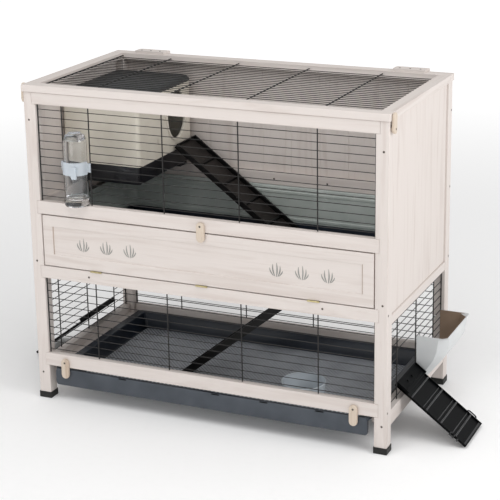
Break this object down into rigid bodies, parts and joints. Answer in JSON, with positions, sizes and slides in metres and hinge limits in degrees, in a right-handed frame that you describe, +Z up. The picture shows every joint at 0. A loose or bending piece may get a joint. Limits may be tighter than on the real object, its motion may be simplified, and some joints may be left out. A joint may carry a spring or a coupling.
{
  "type": "rabbit cage",
  "caption": "Wooden two-storey rabbit cage with wire sides, hinged mesh roof, drop-down front flap, slide-out tray, nest box, ladders, door ramps, feeder, bottle and bowl.",
  "frame": {"origin": "under the middle of the cage's bounding box, on the floor it stands on", "axes": "+X to the cage's right along its length, -Y to its front, +Z up"},
  "size_m": [1.5798, 0.665, 1.0285],
  "materials": {
    "whitewashed_wood": "thin off-white wash over fine straight grain",
    "turned_wood": "sanded, sealed light brown",
    "black_wire": "satin black coating",
    "dark_tray": "satin charcoal, fine texture on the floor",
    "black_plastic": "satin black",
    "nest_shell": "satin warm grey",
    "nest_roof": "satin dark grey",
    "wall_guard": "semi-gloss grey-green",
    "feeder_grey": "satin light grey",
    "clear_plastic": "clear, polished",
    "brass": "satin"
  },
  "bodies": {
    "cage": {"front_left_post": "whitewashed_wood", "front_right_post": "whitewashed_wood", "rear_left_post": "whitewashed_wood", "rear_right_post": "whitewashed_wood", "front_top_rail": "whitewashed_wood", "front_middle_rail": "whitewashed_wood", "front_lower_rail": "whitewashed_wood", "front_bottom_rail": "whitewashed_wood", "left_middle_rail": "whitewashed_wood", "left_bottom_rail": "whitewashed_wood", "right_middle_rail": "whitewashed_wood", "right_bottom_rail": "whitewashed_wood", "rear_middle_rail": "whitewashed_wood", "rear_bottom_rail": "whitewashed_wood", "left_wall_panel": "whitewashed_wood", "right_wall_panel": "whitewashed_wood", "rear_wall_panel": "whitewashed_wood", "left_batten": "whitewashed_wood", "rear_batten": "whitewashed_wood", "roof_hinge_left_base": "whitewashed_wood", "roof_hinge_right_base": "whitewashed_wood", "front_upper_grille": "black_wire", "front_lower_grille": "black_wire", "rear_lower_grille": "black_wire", "left_grille": "black_wire", "right_grille": "black_wire", "front_left_foot_cap": "black_plastic", "front_right_foot_cap": "black_plastic", "rear_left_foot_cap": "black_plastic", "rear_right_foot_cap": "black_plastic", "nest_box_base": "black_plastic", "upper_tray": "dark_tray", "nest_box_walls": "nest_shell", "nest_box_roof": "nest_roof", "wall_guard": "wall_guard", "flap_hinge_left": "brass", "flap_hinge_middle": "brass", "flap_hinge_right": "brass"},
    "roof_lid": {"roof_front_rail": "whitewashed_wood", "roof_rear_rail": "whitewashed_wood", "roof_left_rail": "whitewashed_wood", "roof_right_rail": "whitewashed_wood", "roof_grille": "black_wire", "roof_hinge_left_leaf": "whitewashed_wood", "roof_hinge_right_leaf": "whitewashed_wood"},
    "left_roof_latch": {"roof_latch_left": "turned_wood"},
    "right_roof_latch": {"roof_latch_right": "turned_wood"},
    "flap": {"front_flap": "whitewashed_wood"},
    "flap_button": {"flap_turn_button": "turned_wood"},
    "left_tray_button": {"tray_turn_button_left": "turned_wood"},
    "right_tray_button": {"tray_turn_button_right": "turned_wood"},
    "tray": {"lower_tray": "dark_tray"},
    "bowl": {"food_bowl": "clear_plastic"},
    "nest_ladder": {"upper_ladder": "black_plastic"},
    "hatch_ladder": {"lower_ladder": "black_plastic"},
    "left_ramp": {"left_door_ramp": "black_plastic"},
    "right_ramp": {"right_door_ramp": "black_plastic"},
    "feeder": {"hay_feeder": "feeder_grey"},
    "bottle": {"water_bottle": "clear_plastic", "bottle_clip": "clear_plastic"}
  },
  "joints": [
    {"name": "roof_lid_hinge", "type": "hinge", "parent": "cage", "child": "roof_lid", "pos_m": [0, 0.3255, 1.02], "axis": [-1, 0, 0], "range_deg": [0, 100]},
    {"name": "left_roof_latch_pivot", "type": "hinge", "parent": "cage", "child": "left_roof_latch", "pos_m": [-0.585, -0.271, 0.974], "axis": [-1, 0, 0], "range_deg": [0, 90]},
    {"name": "right_roof_latch_pivot", "type": "hinge", "parent": "cage", "child": "right_roof_latch", "pos_m": [0.585, -0.271, 0.974], "axis": [-1, 0, 0], "range_deg": [0, 90]},
    {"name": "flap_hinge", "type": "hinge", "parent": "cage", "child": "flap", "pos_m": [0, -0.2935, 0.4475], "axis": [1, 0, 0], "range_deg": [0, 170]},
    {"name": "flap_button_pivot", "type": "hinge", "parent": "cage", "child": "flap_button", "pos_m": [0.003, -0.2905, 0.636], "axis": [0, 1, 0], "range_deg": [0, 90]},
    {"name": "left_tray_button_pivot", "type": "hinge", "parent": "cage", "child": "left_tray_button", "pos_m": [-0.484, -0.2905, 0.132], "axis": [0, 1, 0], "range_deg": [0, 90]},
    {"name": "right_tray_button_pivot", "type": "hinge", "parent": "cage", "child": "right_tray_button", "pos_m": [0.484, -0.2905, 0.132], "axis": [0, -1, 0], "range_deg": [0, 90]},
    {"name": "tray_slide", "type": "slide", "parent": "cage", "child": "tray", "axis": [0, -1, 0], "range_m": [0, 0.27]},
    {"name": "bowl_lift", "type": "slide", "parent": "tray", "child": "bowl", "axis": [0, 0, 1], "range_m": [0, 0.15]},
    {"name": "nest_ladder_hinge", "type": "hinge", "parent": "cage", "child": "nest_ladder", "pos_m": [-0.292, 0.1975, 0.77], "axis": [0, -1, 0], "range_deg": [0, 60]},
    {"name": "hatch_ladder_hinge", "type": "hinge", "parent": "cage", "child": "hatch_ladder", "pos_m": [0.297, -0.078, 0.458], "axis": [0, 1, 0], "range_deg": [0, 30]},
    {"name": "left_ramp_hinge", "type": "hinge", "parent": "cage", "child": "left_ramp", "pos_m": [-0.5725, 0.0985, 0.1826], "axis": [0, 1, 0], "range_deg": [0, 125]},
    {"name": "right_ramp_hinge", "type": "hinge", "parent": "cage", "child": "right_ramp", "pos_m": [0.5725, -0.0795, 0.1826], "axis": [0, -1, 0], "range_deg": [0, 125]},
    {"name": "feeder_lift", "type": "slide", "parent": "cage", "child": "feeder", "axis": [0, 0, 1], "range_m": [0, 0.1]},
    {"name": "bottle_pull", "type": "slide", "parent": "cage", "child": "bottle", "axis": [0, -1, 0], "range_m": [0, 0.15]}
  ]
}
